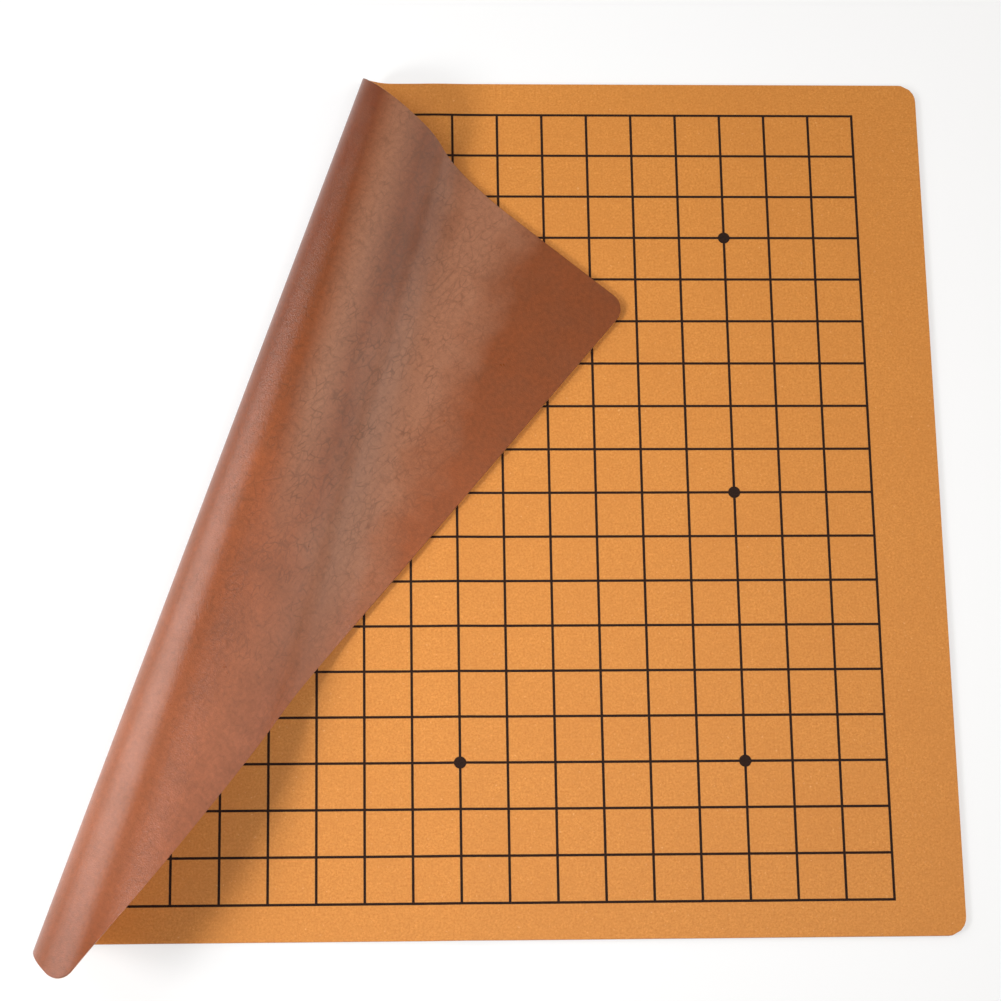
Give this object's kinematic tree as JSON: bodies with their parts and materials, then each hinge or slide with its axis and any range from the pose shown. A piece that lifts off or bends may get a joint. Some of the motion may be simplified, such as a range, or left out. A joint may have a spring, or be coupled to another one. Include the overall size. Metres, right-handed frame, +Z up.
{
  "type": "folding go mat",
  "caption": "Soft folding go mat of suede bonded to leather, with a printed playing grid and star points; one side folds over the board in a tapering roll.",
  "frame": {"origin": "centre of the open mat, on the leather's underside, where the board lies on the table", "axes": "+Z up out of the playing face, +X to the right along the near edge, +Y away from the player"},
  "size_m": [0.4385, 0.4567, 0.0459],
  "materials": {
    "leather_back": "satin",
    "suede_face": "matte",
    "printed_ink": "matte"
  },
  "bodies": {
    "board": {"board_leather": "leather_back", "board_suede": "suede_face", "board_print": "printed_ink"},
    "fold_1": {"fold_1_leather": "leather_back", "fold_1_suede": "suede_face", "fold_1_print": "printed_ink"},
    "fold_2": {"fold_2_leather": "leather_back", "fold_2_suede": "suede_face", "fold_2_print": "printed_ink"},
    "fold_3": {"fold_3_leather": "leather_back", "fold_3_suede": "suede_face", "fold_3_print": "printed_ink"},
    "fold_4": {"fold_4_leather": "leather_back", "fold_4_suede": "suede_face", "fold_4_print": "printed_ink"},
    "fold_5": {"fold_5_leather": "leather_back", "fold_5_suede": "suede_face", "fold_5_print": "printed_ink"},
    "fold_6": {"fold_6_leather": "leather_back", "fold_6_suede": "suede_face", "fold_6_print": "printed_ink"},
    "fold_7": {"fold_7_leather": "leather_back", "fold_7_suede": "suede_face", "fold_7_print": "printed_ink"},
    "fold_8": {"fold_8_leather": "leather_back", "fold_8_suede": "suede_face", "fold_8_print": "printed_ink"},
    "flap": {"flap_leather": "leather_back", "flap_suede": "suede_face", "flap_print": "printed_ink"}
  },
  "joints": [
    {"name": "bend_1", "type": "hinge", "parent": "board", "child": "fold_1", "pos_m": [-0.10427, 0.01131, 0.0018], "axis": [-0.3165, -0.9486, 0], "range_deg": [0, 38.1]},
    {"name": "bend_2", "type": "hinge", "parent": "fold_1", "child": "fold_2", "pos_m": [-0.11206, 0.01397, 0.00825], "axis": [-0.3246, -0.9458, 0.0067], "range_deg": [0, 38.1]},
    {"name": "bend_3", "type": "hinge", "parent": "fold_2", "child": "fold_3", "pos_m": [-0.11428, 0.01485, 0.01796], "axis": [-0.3269, -0.9449, 0.0169], "range_deg": [0, 38.1]},
    {"name": "bend_4", "type": "hinge", "parent": "fold_3", "child": "fold_4", "pos_m": [-0.10975, 0.01354, 0.02837], "axis": [-0.3222, -0.9463, 0.0278], "range_deg": [0, 38.1]},
    {"name": "bend_5", "type": "hinge", "parent": "fold_4", "child": "fold_5", "pos_m": [-0.09713, 0.00957, 0.03528], "axis": [-0.309, -0.9504, 0.035], "range_deg": [0, 38.1]},
    {"name": "bend_6", "type": "hinge", "parent": "fold_5", "child": "fold_6", "pos_m": [-0.08121, 0.00444, 0.03217], "axis": [-0.2924, -0.9558, 0.0317], "range_deg": [0, 19.05]},
    {"name": "bend_7", "type": "hinge", "parent": "fold_6", "child": "fold_7", "pos_m": [-0.06354, -0.00107, 0.02165], "axis": [-0.2739, -0.9615, 0.0207], "range_deg": [0, 19.05]},
    {"name": "landing_1", "type": "hinge", "parent": "fold_7", "child": "fold_8", "pos_m": [-0.05151, -0.00459, 0.01012], "axis": [0.2627, 0.9648, -0.0075], "range_deg": [0, 24.35]},
    {"name": "landing_2", "type": "hinge", "parent": "fold_8", "child": "flap", "pos_m": [-0.03965, -0.00776, 0.00456], "axis": [0.2503, 0.9682, -0.0016], "range_deg": [0, 24.35]}
  ],
  "couplings": [
    {"joint": "bend_2", "follows": "bend_1", "ratio": 1},
    {"joint": "bend_3", "follows": "bend_1", "ratio": 1},
    {"joint": "bend_4", "follows": "bend_1", "ratio": 1},
    {"joint": "bend_5", "follows": "bend_1", "ratio": 1},
    {"joint": "bend_6", "follows": "bend_1", "ratio": 0.5},
    {"joint": "bend_7", "follows": "bend_1", "ratio": 0.5},
    {"joint": "landing_1", "follows": "bend_1", "ratio": 0.63906},
    {"joint": "landing_2", "follows": "bend_1", "ratio": 0.63906}
  ]
}
